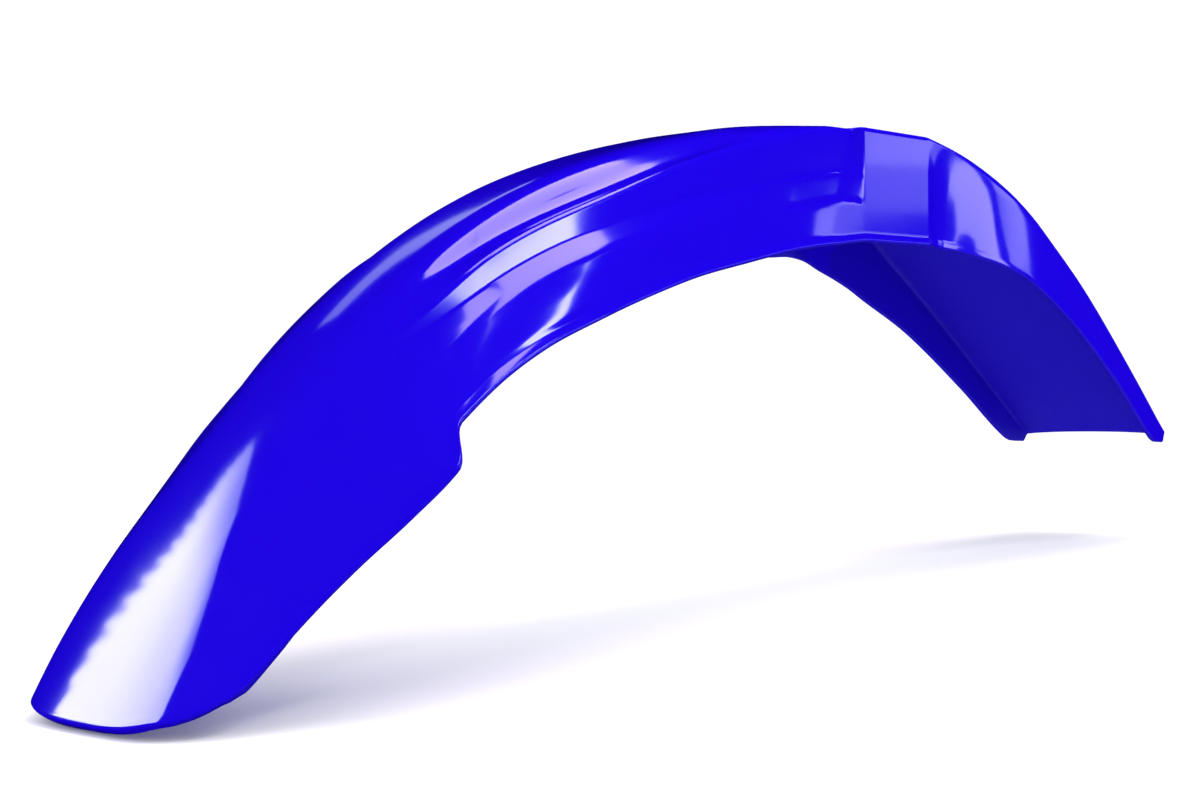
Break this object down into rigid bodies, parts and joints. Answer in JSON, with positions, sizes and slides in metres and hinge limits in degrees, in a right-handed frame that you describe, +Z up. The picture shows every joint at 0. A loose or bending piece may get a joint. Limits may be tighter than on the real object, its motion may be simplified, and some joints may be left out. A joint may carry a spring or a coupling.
{
  "type": "motorcycle front mudguard",
  "caption": "One-piece moulded front mudguard for an off-road motorcycle: ribbed nose with side wings, flat bolted deck and a bent rear flap.",
  "frame": {"origin": "centre of the deck's top face, in the middle of the four bolt holes", "axes": "+X forward along the motorcycle, towards the long nose; +Y to the rider's left; +Z up, square to the deck"},
  "size_m": [0.7749, 0.1522, 0.2325],
  "materials": {
    "moulding": "gloss"
  },
  "bodies": {
    "root": {"mudguard": "moulding"}
  },
  "joints": []
}
